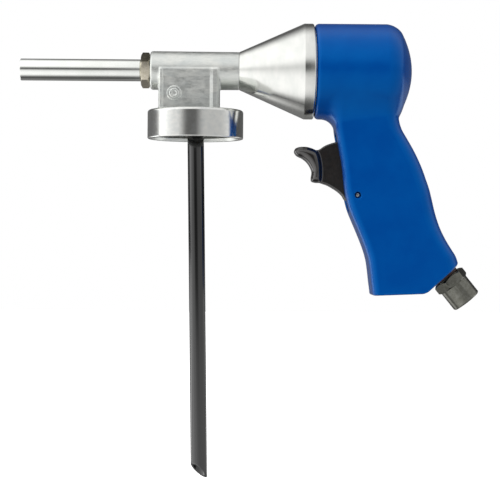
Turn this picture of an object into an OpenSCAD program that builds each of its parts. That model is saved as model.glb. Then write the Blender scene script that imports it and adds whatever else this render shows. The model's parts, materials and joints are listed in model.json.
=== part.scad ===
// Suction-feed air spray gun for underbody coating: a screw-on can cap and spray
// tube on a metal head, behind it a moulded pistol grip with its trigger valve.
// X runs from the nozzle (-) to the grip (+), Z is up, and the origin is on the
// can's axis at the rim of the can cap. The left side is -Y.

/* [Spray line] */
// Height of the spray line above the rim of the can cap
spray_z = 37.6; // [36:0.1:39]
// How far the spray tube's tip is in front of the can's axis
tube_tip = 96.2; // [70:0.1:140]
// Outer diameter of the spray tube
tube_d = 12; // [11.8:0.1:13]
// Width across the flats of the tube's lock nut
nut_af = 17; // [16.5:0.1:18]
// Thickness of the lock nut
nut_t = 5; // [4:0.1:7]

/* [Metal head] */
// Outer diameter of the cast barrel at its front
barrel_d = 21.2; // [21:0.1:23]
// Front face of the barrel, ahead of the can's axis
barrel_front = 24.9; // [23:0.1:26]
// Where the barrel ends and the turned cone begins
cone_front = 23.9; // [23.5:0.1:26]
// Where the cone meets its collar
cone_rear = 59.5; // [58:0.1:60.2]
// Outer diameter of the cone's collar and of the grip's round top
collar_d = 52.4; // [51:0.1:54]

/* [Can cap] */
// Outer diameter of the can cap
cap_d = 52.6; // [51.5:0.1:56]
// Height of the can cap
cap_h = 15.8; // [15.5:0.1:18]
// Crest diameter of the thread that takes the can
can_thread_d = 44.8; // [44.6:0.1:45.2]
// Outer diameter of the suction tube
suction_d = 9; // [8.5:0.1:9.5]
// Depth of the suction tube's tip below the rim of the can cap
suction_depth = 186.5; // [120:0.5:240]
// Lean of the suction tube towards the grip, in degrees
suction_lean = 1; // [0:0.1:1.5]

/* [Grip] */
// Width of the grip
grip_w = 33; // [32:0.1:35]
// Wall thickness of the two shells
wall = 2.4; // [2:0.1:2.8]
// Rear end of the round top
head_rear = 118.6; // [118.4:0.1:121]
// Bottom of the grip
grip_bottom = -84.9; // [-90:0.1:-84]
// Width of the trigger's finger pad
pad_w = 17; // [14:0.1:20]

/* [Air inlet] */
// Tilt of the inlet from straight down towards the rear, in degrees
inlet_tilt = 39; // [38:0.5:41]
// Width across the flats of the inlet bushing
inlet_af = 17; // [16.5:0.1:19]
// Length of the inlet's female thread
inlet_thread = 12; // [10:0.5:12]

/* [Hidden] */
$fn = 64;

slip = 0.05;             // radial clearance of a running fit
through = 0.5;           // how far a cut runs past the face it opens

// can cap and suction line
cap_r = cap_d / 2;
cap_edge = 1.5;
roof = 3;
roof_z = cap_h - roof;
thread_r = can_thread_d / 2;
thread_depth = 0.8;
thread_pitch = 3;
gasket_t = 1.4;
gasket_bore_r = 12;
neck_front = -20;
neck_rear = 13.2;
mark_x = -11.4;
mark_z = 24.4;
nipple_seat_r = 3.5;
nipple_seat_top = 24;
nipple_flange_r = 5.5;
nipple_flange_z = 11.3;
suction_port_r = 2.5;
suction_bore_r = 3;

// spray line
barrel_r = barrel_d / 2;
barrel_rear_r = barrel_r - 0.2;
tube_r = tube_d / 2;
tube_bore_r = 4.3;
tube_thread_r = tube_r - 0.3;
tube_shoulder = 0.5;     // bare thread between the tube's shoulder and the nut
tube_rear = -6;
nut_turn = 7;            // how the lock nut happens to stand, in degrees
chamber_rear = 6;
jet_thread_r = 5;
washer_x = 15.3;
washer_t = 0.5;
jet_flange_t = 2.7;
jet_flange_r = 7.5;
spigot_seat_r = 8;

// cone and collar
collar_r = collar_d / 2;
collar_rear = 64.7;
cone_wall = 2.7;
frame_spigot_r = 12.5;
frame_spigot_front = 46.5;
ring_x = 50;             // middle of the O-ring's groove in the frame's spigot
sleeve_r = 15.2;

// grip outline: height, front edge and rear edge of each level
GRIP = [[18, 76.2, 111], [13, 75.3, 112], [5, 75.8, 113.5], [-2, 77, 117.6],
    [-11, 79, 122.6], [-23, 80.7, 127.4], [-34, 82, 130.6], [-41, 84.2, 132.3],
    [-49, 87.7, 135.2], [-57, 91, 139.5], [-65, 93.7, 143.9], [-75, 95.2, 146],
    [grip_bottom - 3, 97, 148]];
sole_x = 100;            // where the sole is grip_bottom high
sole_rise = 2.5;         // slope of the sole towards the rear, in degrees
grip_front_round = 5;
grip_rear_round = 7;
head_r = collar_r;
head_front = 65.1;
head_front_edge = 2.6;
head_rear_edge = 4;
dome_r = 40;
slot_top = 4;
slot_bottom = -39;
slot_w = 12.8;

// air inlet: a point of its axis on the grip's angled face, and steps along the axis
inlet_x = 137.9;
inlet_z = -73;
face_turn = 3.5;         // the angled face leans this much more than the inlet
neck_t = 2.2;
hex_t = 5.6;
inlet_end = neck_t + hex_t + 11.4;
inlet_thread_r = 5.72;
inlet_stem_r = 5.85;
inlet_stem = 16;
inlet_pocket_r = 4.2;
inlet_boss_r = 8.5;
inlet_boss = 50;

// trigger and valve
pivot_x = 88.6;
pivot_z = -30.5;
pin_r = 1.6;
web_w = 12;
hub_r = 4.3;
valve_z = -11;
valve_front = 88;
valve_rear = 114.7;
valve_body_r = 8.8;
gland_r = 5;
gland_end = 92;
outlet_r = 4.2;
seat_x = 97;
seat_t = 2.5;
supply_r = 6.5;
stem_r = 2.5;
stem_front = 83.1;
poppet_x = seat_x + seat_t;
poppet_seal_t = 0.8;
poppet_r = 5.2;
poppet_t = 2;
plug_front = 109.7;
plug_ring_x = 111.2;
gallery_x = 94.3;
gallery_r = 2.6;
feed_x = 106.5;
feed_z = -38;
feed_r = 2.5;

// shell screws: X and Z of each
SCREWS = [[77, 55.5], [104, 55.5], [106.5, 14], [126, -36], [101.5, -74]];
screw_r = 1.5;
screw_head_r = 2.9;
screw_boss_r = 3.4;
screw_depth = 10;
screw_seat = 12.5;       // distance of the heads' seats from the middle plane

module along_x(x, z) { translate([x, 0, z]) rotate([0, 90, 0]) children(); }

// a solid of revolution about the X direction at height z, from [x, radius] points
module turned(points, z) {
    translate([0, 0, z]) rotate([0, 90, 0]) rotate_extrude()
        polygon([for (p = points) [p[1], p[0]]]);
}

module tube_x(x0, x1, outer, inner, z) {
    turned([[x0, inner], [x0, outer], [x1, outer], [x1, inner]], z);
}

module bore_x(x0, x1, r, z) { along_x(x0, z) cylinder(h = x1 - x0, r = r); }

module o_ring(x, ring_r, wire_r, z) {
    along_x(x, z) rotate_extrude() translate([ring_r, 0]) circle(r = wire_r);
}

// a hexagon with turned corners, lying along X
module hex_x(x0, length, af, turn, z) {
    across_corners = af / cos(30);
    corner = (across_corners - af) / 2;
    intersection() {
        along_x(x0, z) rotate(turn) cylinder(h = length, d = across_corners, $fn = 6);
        turned([[x0, 0], [x0, af / 2], [x0 + corner * 0.6, af / 2 + corner],
            [x0 + length - corner * 0.6, af / 2 + corner], [x0 + length, af / 2],
            [x0 + length, 0]], z);
    }
}

// the inlet's own frame: +Z leaves the grip, the origin lies on the angled face
module at_inlet() {
    translate([inlet_x, 0, inlet_z]) rotate([0, 180 - inlet_tilt, 0]) children();
}

// ---- metal head ----

module front_casting() {
    rear_rib = 8.4;
    panel = 10.45;
    rib = 11.1;
    color([0.72, 0.73, 0.73]) difference() {
        union() {
            turned([[-barrel_front, 0], [-barrel_front, barrel_r - 1.5],
                [-barrel_front + 0.5, barrel_r - 0.5], [-barrel_front + 1.5, barrel_r],
                [cone_front, barrel_rear_r], [cone_front, 0]], spray_z);
            translate([0, 0, cap_h - 1]) linear_extrude(spray_z - cap_h + 1)
                for (side = [0, 1]) mirror([0, side]) polygon([[neck_front, 0],
                    [neck_front, rib - 1.4], [neck_front + 0.8, rib], [neck_front + 2, rib],
                    [neck_front + 2.6, panel], [rear_rib - 0.4, panel], [rear_rib + 1.6, rib],
                    [neck_rear - 1, rib], [neck_rear, rib - 1.4], [neck_rear, 0]]);
            rotate_extrude() polygon([[0, 0], [cap_r - 0.6, 0], [cap_r, 0.6],
                [cap_r, cap_h - cap_edge], [cap_r - 0.45, cap_h - 0.45],
                [cap_r - cap_edge, cap_h], [0, cap_h]]);
            translate([mark_x, -panel, mark_z]) rotate([90, 0, 0]) difference() {
                translate([0, 0, -0.5]) cylinder(h = 0.9, r = 3.9);
                translate([0, 0, -1]) cylinder(h = 2, r = 2.7);
            }
        }
        rotate_extrude() polygon(can_thread_profile());
        translate([0, 0, roof_z - through])
            cylinder(h = nipple_seat_top - roof_z + through, r = nipple_seat_r + slip);
        cylinder(h = spray_z, r = suction_port_r);
        bore_x(-barrel_front - through, chamber_rear, tube_thread_r + slip, spray_z);
        bore_x(0, washer_x + through, jet_thread_r + slip, spray_z);
        bore_x(washer_x, cone_front + through, spigot_seat_r + slip, spray_z);
    }
}

// the space inside the cap, with the ridges of the can's thread
function can_thread_profile() = let (
        groove_r = thread_r + thread_depth,
        turns = floor((roof_z - gasket_t - 1.5) / thread_pitch))
    concat([[0, -through], [groove_r, -through]],
        [for (i = [0 : turns - 1], p = [[0, 0.9], [1, 1.4], [1, 2], [0, 2.5]])
            [groove_r - p[0] * thread_depth, i * thread_pitch + p[1]]],
        [[groove_r, roof_z], [0, roof_z]]);

module can_gasket() {
    color([0.1, 0.1, 0.1]) translate([0, 0, roof_z - gasket_t]) difference() {
        cylinder(h = gasket_t, r = thread_r - 0.15);
        translate([0, 0, -1]) cylinder(h = gasket_t + 2, r = gasket_bore_r);
    }
}

// a plain tube whose rear part, from a shoulder before the nut, carries the thread
module spray_tube() {
    shoulder = -barrel_front - slip - nut_t - tube_shoulder;
    color([0.86, 0.87, 0.88]) turned([[-tube_tip, tube_bore_r], [-tube_tip, tube_r - 0.3],
        [-tube_tip + 0.4, tube_r], [shoulder, tube_r], [shoulder, tube_thread_r],
        [tube_rear, tube_thread_r], [tube_rear, tube_bore_r]], spray_z);
}

module lock_nut() {
    color([0.68, 0.62, 0.5]) difference() {
        hex_x(-barrel_front - nut_t - slip, nut_t, nut_af, nut_turn, spray_z);
        bore_x(-barrel_front - nut_t - 2, -barrel_front + 1, tube_thread_r + slip, spray_z);
    }
}

module air_jet() {
    flange = washer_x + washer_t;
    color([0.8, 0.65, 0.3]) turned([[-3, 0.9], [-3, 1.8], [3, 3], [chamber_rear + 1, 3],
        [chamber_rear + 2, jet_thread_r], [flange, jet_thread_r], [flange, jet_flange_r],
        [flange + jet_flange_t, jet_flange_r], [flange + jet_flange_t, 2.5],
        [3, 2.5], [0, 0.9]], spray_z);
}

module jet_washer() {
    color([0.7, 0.35, 0.2]) tube_x(washer_x, washer_x + washer_t,
        jet_flange_r, jet_thread_r + 0.2, spray_z);
}

// a barbed nipple pressed into the roof of the cap, flange under the roof
module suction_nipple() {
    barb = suction_bore_r - 0.02;
    color([0.8, 0.65, 0.3]) rotate_extrude() polygon([[2, 1.5], [2.5, 1.5], [barb, 2.4],
        [2.6, 4], [barb, 4], [2.6, 6], [barb, 6], [2.6, 8], [barb, 8], [2.6, 10],
        [2.6, nipple_flange_z], [nipple_flange_r, nipple_flange_z],
        [nipple_flange_r, roof_z], [nipple_seat_r, roof_z],
        [nipple_seat_r, nipple_seat_top - 0.5], [2, nipple_seat_top - 0.5]]);
}

module suction_tube() {
    top = nipple_flange_z - 0.2;
    color([0.07, 0.07, 0.07]) translate([0, 0, top]) rotate([0, -suction_lean, 0])
        difference() {
            length = suction_depth + top;
            tip_turn = 40;
            translate([0, 0, -length]) cylinder(h = length, d = suction_d);
            translate([0, 0, -length - 1]) cylinder(h = length + 2, r = suction_bore_r);
            rotate(tip_turn) translate([suction_d / 2, 0, -length]) rotate([0, 45, 0])
                translate([-4 * suction_d, -suction_d, -4 * suction_d])
                    cube([8 * suction_d, 2 * suction_d, 4 * suction_d]);
        }
}

// the turned cone: a front spigot in the casting, a sleeve for the frame's spigot
module cone_housing() {
    throat_r = 4.5;
    pocket = 51;
    slope = (collar_r - barrel_rear_r) / (cone_rear - cone_front);
    spigot_front = washer_x + washer_t + jet_flange_t + slip;
    color([0.85, 0.85, 0.84]) turned([[spigot_front, throat_r],
        [spigot_front, spigot_seat_r], [cone_front, spigot_seat_r],
        [cone_front, barrel_rear_r], [cone_rear, collar_r], [collar_rear - 0.5, collar_r],
        [collar_rear, collar_r - 0.5], [collar_rear, collar_r - cone_wall],
        [cone_rear, collar_r - cone_wall],
        [pocket, barrel_rear_r + (pocket - cone_front) * slope - cone_wall],
        [pocket, sleeve_r], [collar_rear, sleeve_r], [collar_rear, frame_spigot_r + slip],
        [frame_spigot_front - 0.5, frame_spigot_r + slip],
        [frame_spigot_front - 0.5, throat_r + 2], [33, throat_r]], spray_z);
}

module spigot_o_ring() {
    color([0.1, 0.1, 0.1]) o_ring(ring_x, frame_spigot_r - 0.9, 0.9, spray_z);
}

// ---- frame, inlet and valve ----

module handle_frame() {
    block_r = 11.5;
    color([0.6, 0.61, 0.62]) difference() {
        union() {
            bore_x(frame_spigot_front, collar_rear + 1, frame_spigot_r, spray_z);
            bore_x(collar_rear, collar_rear + 3.6, collar_r - cone_wall - 0.3, spray_z);
            bore_x(collar_rear + 3, gallery_x + 8, block_r, spray_z);
            translate([gallery_x - 6, -7, valve_z + 5])
                cube([12, 14, spray_z - valve_z - 5]);
            bore_x(valve_front, valve_rear, valve_body_r, valve_z);
            translate([feed_x - 5.5, -7, feed_z - 3]) cube([11, 14, valve_z - 2 - feed_z]);
            at_inlet() translate([0, 0, -inlet_boss])
                cylinder(h = inlet_boss - wall - 0.2, r = inlet_boss_r);
        }
        bore_x(frame_spigot_front - 1, gallery_x + 4, 5, spray_z);
        translate([gallery_x, 0, valve_z]) cylinder(h = 70, r = gallery_r);
        bore_x(valve_front - 1, gland_end + 0.2, gland_r + slip, valve_z);
        bore_x(gland_end, seat_x + 1, outlet_r, valve_z);
        bore_x(seat_x, valve_rear + 1, supply_r + slip, valve_z);
        translate([feed_x, 0, feed_z]) cylinder(h = valve_z - feed_z, r = feed_r);
        at_inlet() translate([0, 0, -inlet_boss + 2]) cylinder(h = inlet_boss, r = 3.5);
        at_inlet() translate([0, 0, -inlet_stem - 1]) cylinder(h = 30, r = inlet_stem_r + slip);
        tube_x(ring_x - 1, ring_x + 1, frame_spigot_r + 1, frame_spigot_r - 1.85, spray_z);
    }
}

// closes the drilled end of the outlet gallery, with a hexagon socket
module gallery_plug() {
    color([0.75, 0.72, 0.6]) translate([gallery_x, 0, spray_z + 6]) difference() {
        cylinder(h = 5, r = gallery_r - 0.02);
        translate([0, 0, 2]) cylinder(h = 4, r = 1.4, $fn = 6);
    }
}

module inlet_bushing() {
    corner = inlet_af / cos(30) / 2;
    body_r = inlet_af / 2 - 0.15;
    hex_turn = 54;
    color([0.22, 0.2, 0.18]) at_inlet() difference() {
        union() {
            translate([0, 0, -inlet_stem]) cylinder(h = inlet_stem + neck_t, r = inlet_stem_r);
            intersection() {
                translate([0, 0, neck_t]) rotate(hex_turn) cylinder(h = hex_t, r = corner, $fn = 6);
                rotate_extrude() polygon([[0, neck_t], [inlet_af / 2, neck_t],
                    [corner, neck_t + 0.9], [corner, neck_t + hex_t - 0.9],
                    [inlet_af / 2, neck_t + hex_t], [0, neck_t + hex_t]]);
            }
            rotate_extrude() polygon([[0, neck_t + hex_t - 1], [body_r, neck_t + hex_t - 1],
                [body_r, inlet_end - 0.6], [body_r - 0.6, inlet_end], [0, inlet_end]]);
        }
        translate([0, 0, inlet_end - inlet_thread])
            cylinder(h = inlet_thread + through, r = inlet_thread_r);
        translate([0, 0, -6]) cylinder(h = inlet_end, r = inlet_pocket_r);
        translate([0, 0, -inlet_stem - 1]) cylinder(h = inlet_stem, r = suction_bore_r);
    }
}

module inlet_seal() {
    color([0.3, 0.05, 0.05]) at_inlet() difference() {
        cylinder(h = neck_t, r = 6.75);
        translate([0, 0, -1]) cylinder(h = neck_t + 2, r = inlet_stem_r + slip);
    }
}

// a sintered thimble that stops scale from the air hose
module inlet_filter() {
    color([0.75, 0.6, 0.35]) at_inlet() translate([0, 0, -6]) difference() {
        cylinder(h = 12, r = inlet_pocket_r - 0.02);
        translate([0, 0, 2]) cylinder(h = 12, r = 3.1);
    }
}

module valve_gland() {
    color([0.8, 0.65, 0.3]) difference() {
        bore_x(valve_front, gland_end, gland_r, valve_z);
        bore_x(valve_front - 1, gland_end + 1, stem_r + slip, valve_z);
        bore_x(gland_end - 1.6, gland_end + 1, 4.1, valve_z);
    }
}

module gland_o_ring() {
    color([0.1, 0.1, 0.1]) o_ring(gland_end - 0.76, 3.32, 0.75, valve_z);
}

module valve_seat() {
    color([0.8, 0.65, 0.3]) tube_x(seat_x, seat_x + seat_t, supply_r, 3.3, valve_z);
}

// plunger with a domed tip, waist past the seat, poppet disc and spring guide
module valve_stem() {
    disc = poppet_x + slip + poppet_seal_t;
    guide_end = disc + poppet_t + 3;
    color([0.75, 0.76, 0.78]) turned([[stem_front, 0], [stem_front, 1.4],
        [stem_front + 0.8, stem_r], [gland_end + 1, stem_r],
        [gland_end + 2, 1.6], [disc, 1.6], [disc, poppet_r],
        [disc + poppet_t, poppet_r], [disc + poppet_t, 2.6], [guide_end, 2.6],
        [guide_end, 0]], valve_z);
}

module poppet_seal() {
    color([0.1, 0.1, 0.1]) tube_x(poppet_x + slip, poppet_x + slip + poppet_seal_t,
        4.8, 1.62, valve_z);
}

// ring of wire number k of a coil, as points about the wire's centre
function coil_ring(k, rings, turns, length, coil_r, wire_r, sides) = let (
        turn = 360 * turns * k / rings,
        along = length * k / rings)
    [for (s = [0 : sides - 1]) let (a = 360 * s / sides, r = coil_r + wire_r * cos(a))
        [along + wire_r * sin(a), r * cos(turn), r * sin(turn)]];

module valve_spring() {
    turns = 4;
    rings = 60;
    sides = 8;
    wire = 0.45;
    x0 = poppet_x + slip + poppet_seal_t + poppet_t + wire + 0.05;
    length = plug_front - wire - 0.05 - x0;
    points = [for (k = [0 : rings]) each coil_ring(k, rings, turns, length, 3.4, wire, sides)];
    walls = [for (k = [0 : rings - 1], s = [0 : sides - 1]) let (t = (s + 1) % sides)
        [k * sides + s, k * sides + t, (k + 1) * sides + t, (k + 1) * sides + s]];
    first = [for (s = [0 : sides - 1]) sides - 1 - s];
    last = [for (s = [0 : sides - 1]) rings * sides + s];
    color([0.6, 0.62, 0.65]) translate([x0, 0, valve_z])
        polyhedron(points, concat([first], walls, [last]));
}

module valve_plug() {
    color([0.8, 0.65, 0.3]) difference() {
        bore_x(plug_front, valve_rear, supply_r, valve_z);
        tube_x(plug_ring_x - 0.8, plug_ring_x + 0.8, supply_r + 1, supply_r - 1.55, valve_z);
        along_x(valve_rear - 2.2, valve_z) cylinder(h = 3, r = 2.9, $fn = 6);
    }
}

module plug_o_ring() {
    color([0.1, 0.1, 0.1]) o_ring(plug_ring_x, supply_r - 0.75, 0.75, valve_z);
}

// ---- trigger and shells ----

module trigger() {
    pad = [[54.7, -6], [55.6, -4.6], [58.7, -3.7], [62.9, -4], [67.5, -6.2], [69.2, -13],
        [69.4, -22], [67.9, -23.2], [64.5, -22.5], [64, -21], [64.4, -17.6], [63.6, -14.8],
        [61.9, -12], [59.1, -9.7], [55.8, -8]];
    web = [[66.5, -6.2], [71.3, -3.7], [76.6, -1.6], [79.5, -1.2], [80.8, -2], [82.8, -10],
        [83.6, -20], [91, -27], [90, -34], [86, -34.4], [82.2, -32.6], [81.2, -30.9],
        [78.4, -28.2], [73.1, -24.9], [67.5, -23.2]];
    color([0.09, 0.09, 0.09]) difference() {
        union() {
            translate([0, pad_w / 2, 0]) rotate([90, 0, 0]) linear_extrude(pad_w) polygon(pad);
            translate([0, web_w / 2, 0]) rotate([90, 0, 0]) linear_extrude(web_w) polygon(web);
            translate([pivot_x, web_w / 2, pivot_z]) rotate([90, 0, 0])
                cylinder(h = web_w, r = hub_r);
        }
        translate([pivot_x, grip_w, pivot_z]) rotate([90, 0, 0])
            cylinder(h = 2 * grip_w, r = pin_r + slip);
    }
}

module trigger_pin() {
    length = grip_w - 2.4;
    color([0.7, 0.7, 0.72]) translate([pivot_x, length / 2, pivot_z]) rotate([90, 0, 0])
        cylinder(h = length, r = pin_r);
}

// the round top as [x, radius] points, set in from the outside by t
function head_profile(t) = let (
        r = head_r - t,
        front = head_front_edge - t / 2,
        x_end = head_rear - t,
        dome = dome_r - t,
        edge_r = r - head_rear_edge,
        edge_x = x_end - edge_r * edge_r / (2 * dome) - head_rear_edge + 0.6)
    concat([[head_front, 0], [head_front, r - front]],
        [for (a = [30 : 30 : 90]) [head_front + front * (1 - cos(a)), r - front * (1 - sin(a))]],
        [for (a = [90 : -22.5 : 0])
            [edge_x + head_rear_edge * cos(a), edge_r + head_rear_edge * sin(a)]],
        [for (k = [4 : -1 : 0]) let (y = edge_r * k / 5) [x_end - y * y / (2 * dome), y]]);

// one level of the grip as a thin slab with round corners, set in by t
module grip_level(level, t) {
    half_w = grip_w / 2 - t;
    for (side = [-1, 1]) {
        translate([level[1] + grip_front_round, side * (half_w - grip_front_round + t), level[0]])
            cylinder(h = 0.01, r = grip_front_round - t, $fn = 32);
        translate([level[2] - grip_rear_round, side * (half_w - grip_rear_round + t), level[0]])
            cylinder(h = 0.01, r = grip_rear_round - t, $fn = 32);
    }
}

// the whole grip, or its inside when t is the wall's thickness
module grip_solid(t) {
    turned(head_profile(t), spray_z, $fn = 48);
    difference() {
        for (k = [1 : len(GRIP) - 1])
            hull() {
                grip_level(GRIP[k - 1], t);
                grip_level(GRIP[k], t);
            }
        translate([sole_x, 0, grip_bottom + t]) rotate([0, -sole_rise, 0])
            translate([-50, -50, -50]) cube([120, 100, 50]);
        at_inlet() rotate([0, -face_turn, 0]) translate([-60, -50, -t]) cube([120, 100, 60]);
    }
}

module screw_bosses() {
    for (s = SCREWS) translate([s[0], 25, s[1]]) rotate([90, 0, 0])
        cylinder(h = 50, r = screw_boss_r, $fn = 32);
}

module shell_cuts() {
    translate([70, -slot_w / 2, slot_bottom]) cube([20, slot_w, slot_top - slot_bottom]);
    translate([pivot_x, grip_w, pivot_z]) rotate([90, 0, 0])
        cylinder(h = 2 * grip_w, r = pin_r + slip, $fn = 32);
    at_inlet() translate([0, 0, -inlet_boss / 2])
        cylinder(h = inlet_boss, r = inlet_boss_r + 0.1);
    for (s = SCREWS) translate([s[0], 30, s[1]]) rotate([90, 0, 0]) {
        cylinder(h = 30 + screw_depth, r = screw_r + 0.02, $fn = 32);
        cylinder(h = 30 - screw_seat, r = screw_head_r + 0.2, $fn = 32);
    }
}

// both shells as one, before the middle plane parts them
module shell_pair() {
    difference() {
        grip_solid(0);
        difference() {
            grip_solid(wall);
            screw_bosses();
        }
        bore_x(head_front - 1, head_front + 4, collar_r - cone_wall, spray_z);
        shell_cuts();
    }
}

module handle_shell_left() {
    color([0, 0.29, 0.6]) intersection() {
        shell_pair();
        translate([50, -40.02, -100]) cube([100, 40, 200]);
    }
}

module handle_shell_right() {
    color([0, 0.29, 0.6]) intersection() {
        shell_pair();
        translate([50, 0.02, -100]) cube([100, 40, 200]);
    }
}

module shell_screws() {
    color([0.5, 0.5, 0.52]) for (s = SCREWS)
        translate([s[0], screw_seat, s[1]]) rotate([90, 0, 0]) difference() {
            union() {
                translate([0, 0, -2.2]) cylinder(h = 2.2, r = screw_head_r);
                cylinder(h = screw_seat + screw_depth - 1, r = screw_r);
            }
            for (turn = [0, 90]) rotate(turn) translate([-1.6, -0.35, -3]) cube([3.2, 0.7, 2]);
        }
}

front_casting();
can_gasket();
spray_tube();
lock_nut();
air_jet();
jet_washer();
suction_nipple();
suction_tube();
cone_housing();
spigot_o_ring();
handle_frame();
gallery_plug();
inlet_bushing();
inlet_seal();
inlet_filter();
valve_gland();
gland_o_ring();
valve_seat();
valve_stem();
poppet_seal();
valve_spring();
valve_plug();
plug_o_ring();
trigger();
trigger_pin();
handle_shell_left();
handle_shell_right();
shell_screws();
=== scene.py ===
import json
import math

import bmesh
import bpy
import numpy as np
from mathutils import Matrix, Vector


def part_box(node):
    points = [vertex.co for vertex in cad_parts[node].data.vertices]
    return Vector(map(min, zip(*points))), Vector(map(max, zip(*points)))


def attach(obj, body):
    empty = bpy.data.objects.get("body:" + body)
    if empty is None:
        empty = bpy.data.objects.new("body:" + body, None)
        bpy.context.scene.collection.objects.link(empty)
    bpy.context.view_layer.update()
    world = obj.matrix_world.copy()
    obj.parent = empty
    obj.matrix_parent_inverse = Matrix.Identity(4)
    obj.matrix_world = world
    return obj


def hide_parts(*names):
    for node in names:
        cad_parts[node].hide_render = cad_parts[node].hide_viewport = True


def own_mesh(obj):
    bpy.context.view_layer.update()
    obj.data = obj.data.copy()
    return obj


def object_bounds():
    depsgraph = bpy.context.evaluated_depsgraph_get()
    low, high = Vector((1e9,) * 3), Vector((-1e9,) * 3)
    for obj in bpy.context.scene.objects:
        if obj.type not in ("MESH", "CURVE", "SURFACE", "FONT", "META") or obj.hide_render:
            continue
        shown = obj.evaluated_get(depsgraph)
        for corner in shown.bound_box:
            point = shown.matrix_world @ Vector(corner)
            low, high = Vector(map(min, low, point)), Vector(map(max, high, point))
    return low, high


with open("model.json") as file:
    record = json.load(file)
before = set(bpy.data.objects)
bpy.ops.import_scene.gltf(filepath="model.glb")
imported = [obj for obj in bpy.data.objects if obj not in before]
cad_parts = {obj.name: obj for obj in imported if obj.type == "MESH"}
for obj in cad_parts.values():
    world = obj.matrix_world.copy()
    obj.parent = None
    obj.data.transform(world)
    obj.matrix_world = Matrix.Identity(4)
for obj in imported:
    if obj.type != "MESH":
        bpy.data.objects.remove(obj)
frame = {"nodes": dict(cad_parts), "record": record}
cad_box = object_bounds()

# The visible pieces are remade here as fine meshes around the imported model. Lengths are in
# millimetres until a mesh is made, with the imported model's own axes: -X nozzle, +X grip, +Z up.
MM = 0.001


def extent(node):
    """Lowest and highest corner of a CAD node, in millimetres."""
    return [np.array(corner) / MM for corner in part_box(node)]


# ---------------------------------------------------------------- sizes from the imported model

tube_low, tube_high = extent("spray_tube")
nut_low, nut_high = extent("lock_nut")
cast_low, cast_high = extent("front_casting")
cone_low, cone_high = extent("cone_housing")
shell_low = np.minimum(extent("handle_shell_left")[0], extent("handle_shell_right")[0])
shell_high = np.maximum(extent("handle_shell_left")[1], extent("handle_shell_right")[1])
dip_low, dip_high = extent("suction_tube")
trigger_low, trigger_high = extent("trigger")
pin_low, pin_high = extent("trigger_pin")

SPRAY_Z = (tube_low[2] + tube_high[2]) / 2
TUBE_R = (tube_high[2] - tube_low[2]) / 2
TUBE_THREAD_R = TUBE_R - 0.3
TUBE_BORE = 4.3
CAP_R = cast_high[1]
CAP_H = 15.8
BARREL_R = cast_high[2] - SPRAY_Z
BARREL_FRONT = nut_high[0] + 0.05
BARREL_REAR = 23.9
COLLAR_R = cone_high[2] - SPRAY_Z
COLLAR_REAR = cone_high[0]
CONE_REAR = 59.5
PIVOT = ((pin_low + pin_high) / 2)[[0, 2]]
INLET_TILT = math.radians(39)
INLET_OUT = np.array([math.sin(INLET_TILT), 0, -math.cos(INLET_TILT)])
INLET_FACE = np.array([137.9, 0, -73.0])
FACE_TILT = math.radians(42.5)
FACE_OUT = np.array([math.sin(FACE_TILT), 0, -math.cos(FACE_TILT)])
SCREWS = [(77, 55.5), (104, 55.5), (106.5, 14), (126, -36), (101.5, -74)]
SCREW_SEAT = 12.5
SCREW_DEPTH = 10
SCREW_HOLE_R, SCREW_HEAD_R, SCREW_BOSS_R = 1.55, 3.1, 3.4
PIN_HOLE_R = 1.65


# ---------------------------------------------------------------- distance fields

def rounded_max(a, b, r):
    """Both a and b, with their edge rounded to radius r."""
    outside = np.hypot(np.maximum(a + r, 0), np.maximum(b + r, 0))
    return np.minimum(np.maximum(a, b), -r) + outside


def rounded_min(a, b, r):
    """Either a or b, with a fillet of radius r where they meet."""
    return -rounded_max(-a, -b, r)


def curve(t, points):
    """A smooth curve at t through (knot, value) points, whose knots rise."""
    knots, values = np.array(points, float).T
    slopes = np.gradient(values, knots)
    t = np.clip(t, knots[0], knots[-1])
    k = np.clip(np.searchsorted(knots, t) - 1, 0, len(knots) - 2)
    width = knots[k + 1] - knots[k]
    s = (t - knots[k]) / width
    return ((2 * s**3 - 3 * s**2 + 1) * values[k] + (s**3 - 2 * s**2 + s) * width * slopes[k]
            + (3 * s**2 - 2 * s**3) * values[k + 1] + (s**3 - s**2) * width * slopes[k + 1])


def outline_distance(u, v, points):
    """Distance from (u, v) to a closed outline, negative inside it."""
    best = np.full(u.shape, 1e9)
    inside = np.zeros(u.shape, bool)
    for (u0, v0), (u1, v1) in zip(points, points[1:] + points[:1]):
        du, dv = u1 - u0, v1 - v0
        t = np.clip(((u - u0) * du + (v - v0) * dv) / (du * du + dv * dv), 0, 1)
        best = np.minimum(best, (u - u0 - t * du) ** 2 + (v - v0 - t * dv) ** 2)
        crosses = (v0 > v) != (v1 > v)
        side = u < u0 + (v - v0) * du / (dv if dv else 1e-9)
        inside ^= crosses & side
    return np.where(inside, -1, 1) * np.sqrt(best)


def smooth_outline(points, steps=5):
    """A closed curve through points, as a list of more points."""
    out = []
    for i, p1 in enumerate(points):
        p0, p2, p3 = points[i - 1], points[(i + 1) % len(points)], points[(i + 2) % len(points)]
        for s in range(steps):
            t = s / steps
            weights = ((-t + 2 * t**2 - t**3) / 2, (2 - 5 * t**2 + 3 * t**3) / 2,
                       (t + 4 * t**2 - 3 * t**3) / 2, (t**3 - t**2) / 2)
            out.append(tuple(sum(w * p[k] for w, p in zip(weights, (p0, p1, p2, p3)))
                             for k in (0, 1)))
    return out


def slope_of(field, points, reach=0.05):
    """The direction in which a field grows fastest, at each point."""
    slope = np.empty_like(points)
    for k in range(3):
        step = np.zeros(3)
        step[k] = reach
        slope[:, k] = (field(points + step) - field(points - step)) / (2 * reach)
    return slope


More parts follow.
